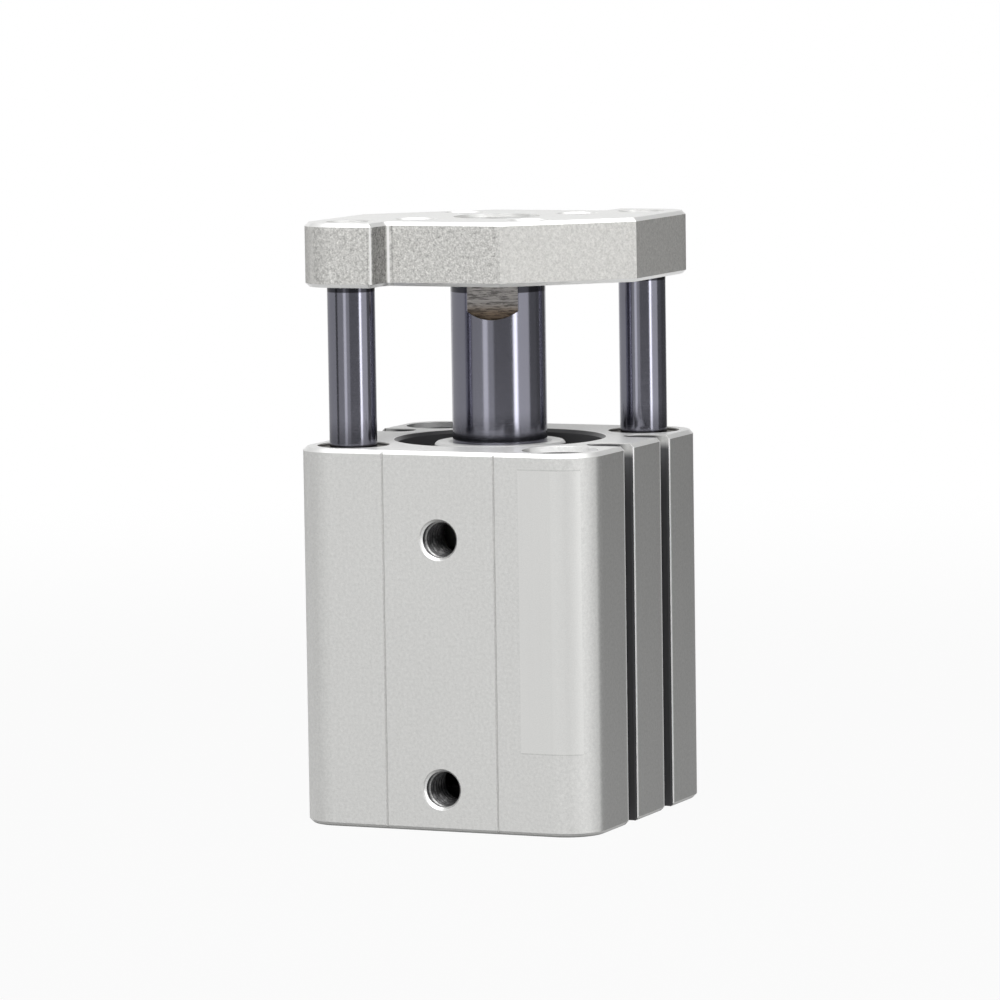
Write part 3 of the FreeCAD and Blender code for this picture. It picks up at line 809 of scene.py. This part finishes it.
def bands(rows, corners, closed):
    """Faces between each row of corners and the next."""
    faces = []
    for row in range(rows if closed else rows - 1):
        here, there = corners * row, corners * ((row + 1) % rows)
        for i in range(corners):
            j = (i + 1) % corners
            faces.append((here + i, here + j, there + j, there + i))
    return faces


def thread_ridge(name, mouth, inwards, radius, run, threads, material):
    """Ridge of an inside thread, from the mouth of its hole inwards."""
    outwards = outwards_from(inwards)
    steps = threads.facets * int((run - threads.pitch) / threads.pitch)
    foot = radius + RIDGE_SUNK
    points = []
    for step in range(steps + 1):
        turn, turns_left = step / threads.facets, (steps - step) / threads.facets
        height = min(1.0, turn / RIDGE_FADE, turns_left / RIDGE_FADE)
        crest_r = foot - (threads.depth + RIDGE_SUNK) * height
        crest = threads.crest / 2
        base = crest + (foot - crest_r) * math.tan(FLANK)
        middle = threads.lead_in + threads.pitch * (turn + 0.5)
        out = outwards(2 * math.pi * turn)
        for along, reach in ((-base, foot), (-crest, crest_r), (crest, crest_r),
                             (base, foot)):
            points.append(mouth + inwards * (middle + along) + out * reach)
    last = 4 * steps
    faces = [(3, 2, 1, 0), *bands(steps + 1, 4, closed=False),
             (last, last + 1, last + 2, last + 3)]
    return add_mesh(name, points, faces, material)


def countersink_ring(name, mouth, inwards, radius, threads, material):
    """Cone from the mouth of a threaded hole down to the crests of its thread."""
    outwards = outwards_from(inwards)
    foot = radius + RIDGE_SUNK
    crest_r = radius - threads.depth * COUNTERSINK_REACH
    corners = ((COUNTERSINK_START, foot), (threads.countersink, crest_r),
               (threads.countersink, foot))
    steps = 2 * threads.facets
    points = []
    for step in range(steps):
        out = outwards(2 * math.pi * step / steps)
        points += [mouth + inwards * along + out * reach for along, reach in corners]
    return add_mesh(name, points, bands(steps, 3, closed=True), material)


class CYLINDER_OT_cut_port_threads(Operator):
    """Cut the threads and countersinks of both air ports"""

    bl_idname = "cylinder.cut_port_threads"
    bl_label = "Cut Port Threads"
    bl_options = {"REGISTER", "UNDO"}

    def execute(self, context):
        scene = context.scene
        threads = scene.cylinder_threads
        (x, upper), (_, lower) = port_places()
        middle, apart = (upper + lower) / 2, (upper - lower) / 2
        finish = thread_finish(
            "port_thread_cut", scene.cylinder_colours, MOUNTS["rod_port"]["dims"]["r_mm"],
            lambda f: f.y - BODY_LOW.y / MM,
            lambda f: f.radius(f.x, abs(f.z - middle), (x, apart)))
        inwards = Vector((0, 1, 0))
        for port in ("rod_port", "head_port"):
            mount = MOUNTS[port]
            mouth = Vector((mount["pos_m"][0], BODY_LOW.y, mount["pos_m"][2]))
            hole_r = mount["dims"]["r_mm"] * MM
            for piece in (
                    thread_ridge(f"{port}_thread", mouth, inwards, hole_r,
                                 PORT_THREAD_RUN, threads, finish),
                    countersink_ring(f"{port}_countersink", mouth, inwards, hole_r,
                                     threads, finish)):
                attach(piece, "barrel")
        return {"FINISHED"}


class CYLINDER_OT_cut_tool_hole_threads(Operator):
    """Cut the threads of the load plate's four tool holes"""

    bl_idname = "cylinder.cut_tool_hole_threads"
    bl_label = "Cut Tool Hole Threads"
    bl_options = {"REGISTER", "UNDO"}

    def execute(self, context):
        scene = context.scene
        x, y = tool_hole_place()
        hole_r = MOUNTS["load_plate_holes"]["dims"]["hole_r_mm"]
        finish = thread_finish(
            "tool_hole_thread_cut", scene.cylinder_colours, hole_r,
            lambda f: PLATE_HIGH.z / MM - f.z,
            lambda f: f.radius(abs(f.x), abs(f.y), (x, y)))
        corners = {"front_left": (-1, -1), "front_right": (1, -1),
                   "rear_left": (-1, 1), "rear_right": (1, 1)}
        for corner, (side, end) in corners.items():
            mouth = Vector((side * x * MM, end * y * MM, PLATE_HIGH.z))
            ridge = thread_ridge(f"tool_hole_thread_{corner}", mouth, Vector((0, 0, -1)),
                                 hole_r * MM, PLATE_HIGH.z - PLATE_LOW.z,
                                 scene.cylinder_threads, finish)
            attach(ridge, "carriage")
        return {"FINISHED"}


# --- Studio ---------------------------------------------------------------------------

def towards(azimuth, elevation, distance):
    """Point that far from the object. Azimuth 0 is in front of the port face."""
    a, e = math.radians(azimuth), math.radians(elevation)
    return Vector((math.sin(a) * math.cos(e), -math.cos(a) * math.cos(e),
                   math.sin(e))) * distance


def soft_lamp(name, azimuth, elevation, distance, width, height, brightness):
    """Rectangular lamp aimed at the object; brightness is its own radiance."""
    lamp = bpy.data.lights.new(name, "AREA")
    lamp.shape = "RECTANGLE"
    lamp.size = width
    lamp.size_y = height
    lamp.energy = brightness * 4 * width * height
    holder = bpy.data.objects.new(name, lamp)
    bpy.context.scene.collection.objects.link(holder)
    holder.location = towards(azimuth, elevation, distance)
    aim = holder.location - Vector((0, 0, LAMP_TARGET))
    holder.rotation_euler = aim.to_track_quat("Z", "Y").to_euler()


def glow(name, brightness):
    """Material that only shines, by the same amount in all directions."""
    material = bpy.data.materials.new(name)
    material.use_nodes = True
    nodes = Nodes(material.node_tree)
    shine = nodes.node("ShaderNodeEmission", {}, {"Color": WHITE, "Strength": brightness})
    nodes.made("ShaderNodeOutputMaterial", {}, {"Surface": shine})
    return material


def card(name, start, end, brightness):
    """Curved card round the object, from azimuth start to end, seen only in gloss."""
    steps = max(2, int((end - start) / CARD_STEP))
    points = []
    for step in range(steps + 1):
        at = towards(start + (end - start) * step / steps, 0, CARD_RADIUS)
        points += [(at.x, at.y, CARD_FOOT), (at.x, at.y, CARD_HEIGHT)]
    faces = [(2 * i, 2 * i + 2, 2 * i + 3, 2 * i + 1) for i in range(steps)]
    panel = add_mesh(name, points, faces, glow(name, brightness))
    panel.visible_camera = False
    panel.visible_diffuse = False
    panel.visible_transmission = False
    panel.visible_volume_scatter = False
    panel.visible_shadow = False


def floor_finish():
    """White floor that keeps the object's shadow."""
    f = Finish("studio_floor")
    seen = f.rays("Is Camera Ray", "Is Glossy Ray", "Is Transmission Ray")
    white = f.node("ShaderNodeEmission", {}, {"Color": WHITE, "Strength": 1.0})
    paper = f.node("ShaderNodeBsdfDiffuse", {}, {
        "Color": f.toned(FLOOR_PAPER, 1 + f.noise(0.02, 1.0) * 0.02)})
    far = f.radius(f.x, f.y).rising(120.0, 420.0)
    share_of_white = seen * (0.95 + far * 0.05)
    surface = f.node("ShaderNodeMixShader", {}, {0: share_of_white, 1: paper, 2: white})
    f.made("ShaderNodeOutputMaterial", {}, {"Surface": surface})
    return f.material


def white_world(ambient):
    """White to the eye and in reflections, dim on matt surfaces."""
    world = bpy.data.worlds.new("studio_world")
    world.use_nodes = True
    nodes = Nodes(world.node_tree)
    seen = nodes.rays("Is Camera Ray", "Is Glossy Ray", "Is Transmission Ray")
    background = nodes.node("ShaderNodeBackground", {}, {
        "Color": WHITE, "Strength": seen * (1 - ambient) + ambient})
    nodes.made("ShaderNodeOutputWorld", {}, {"Surface": background})
    return world


def aim_camera(studio):
    """Camera that looks at the object from the studio's turn and tilt."""
    data = bpy.data.cameras.new("camera")
    data.lens = studio.lens
    data.sensor_width = 36
    data.shift_x, data.shift_y = studio.shift
    data.clip_end = 50
    camera = bpy.data.objects.new("camera", data)
    bpy.context.scene.collection.objects.link(camera)
    back = towards(math.degrees(studio.turn), math.degrees(studio.tilt), 1.0)
    place = Vector((0, 0, studio.target)) + back * studio.distance
    facing = back.to_track_quat("Z", "Y").to_matrix().to_4x4()
    camera.matrix_world = (Matrix.Translation(place) @ facing
                           @ Matrix.Rotation(studio.roll, 4, "Z"))
    return camera


class CYLINDER_OT_build_studio(Operator):
    """Set up the floor, lamps, cards, background and camera"""

    bl_idname = "cylinder.build_studio"
    bl_label = "Build Studio"
    bl_options = {"REGISTER", "UNDO"}

    def execute(self, context):
        scene = context.scene
        studio = scene.cylinder_studio
        rim = [towards(azimuth, 0, FLOOR_RADIUS) for azimuth in range(0, 360, 6)]
        floor = add_mesh("floor", [(point.x, point.y, 0.0) for point in rim],
                         [tuple(range(len(rim)))], floor_finish())
        soft_lamp("key", azimuth=12, elevation=48, distance=1.1, width=0.7, height=0.6,
                  brightness=studio.key)
        soft_lamp("top", azimuth=0, elevation=88, distance=0.9, width=0.7, height=0.7,
                  brightness=studio.top)
        for name, (start, end, brightness) in CARDS.items():
            card(name, start, end, brightness)
        scene.world = white_world(studio.ambient)
        scene.camera = aim_camera(studio)
        scene.view_settings.view_transform = "Standard"
        return {"FINISHED"}


# --- Panel and registration --------------------------------------------------------------

STEPS = (
    CYLINDER_OT_finish_body,
    CYLINDER_OT_finish_load_plate,
    CYLINDER_OT_finish_turned_pieces,
    CYLINDER_OT_finish_rods,
    CYLINDER_OT_finish_bushes,
    CYLINDER_OT_finish_seals,
    CYLINDER_OT_finish_steel,
    CYLINDER_OT_break_edges,
    CYLINDER_OT_cut_port_threads,
    CYLINDER_OT_cut_tool_hole_threads,
    CYLINDER_OT_build_studio,
)
SETTINGS = {
    "cylinder_threads": CylinderThreads,
    "cylinder_edges": CylinderEdges,
    "cylinder_colours": CylinderColours,
    "cylinder_studio": CylinderStudio,
}


class CYLINDER_PT_steps(Panel):
    """Lists the steps and their settings"""

    bl_idname = "CYLINDER_PT_steps"
    bl_label = "Guided Cylinder"
    bl_space_type = "VIEW_3D"
    bl_region_type = "UI"
    bl_category = "Cylinder"

    def draw(self, context):
        for step in STEPS:
            self.layout.operator(step.bl_idname)
        for name, group in SETTINGS.items():
            box = self.layout.box()
            for setting in group.__annotations__:
                box.prop(getattr(context.scene, name), setting)


CLASSES = (*SETTINGS.values(), *STEPS, CYLINDER_PT_steps)


def register():
    for cls in CLASSES:
        bpy.utils.register_class(cls)
    for name, group in SETTINGS.items():
        setattr(bpy.types.Scene, name, PointerProperty(type=group))


def unregister():
    for name in SETTINGS:
        delattr(bpy.types.Scene, name)
    for cls in reversed(CLASSES):
        bpy.utils.unregister_class(cls)


def main():
    register()
    for step in STEPS:
        group, name = step.bl_idname.split(".")
        getattr(getattr(bpy.ops, group), name)()


if __name__ == "__main__":
    main()
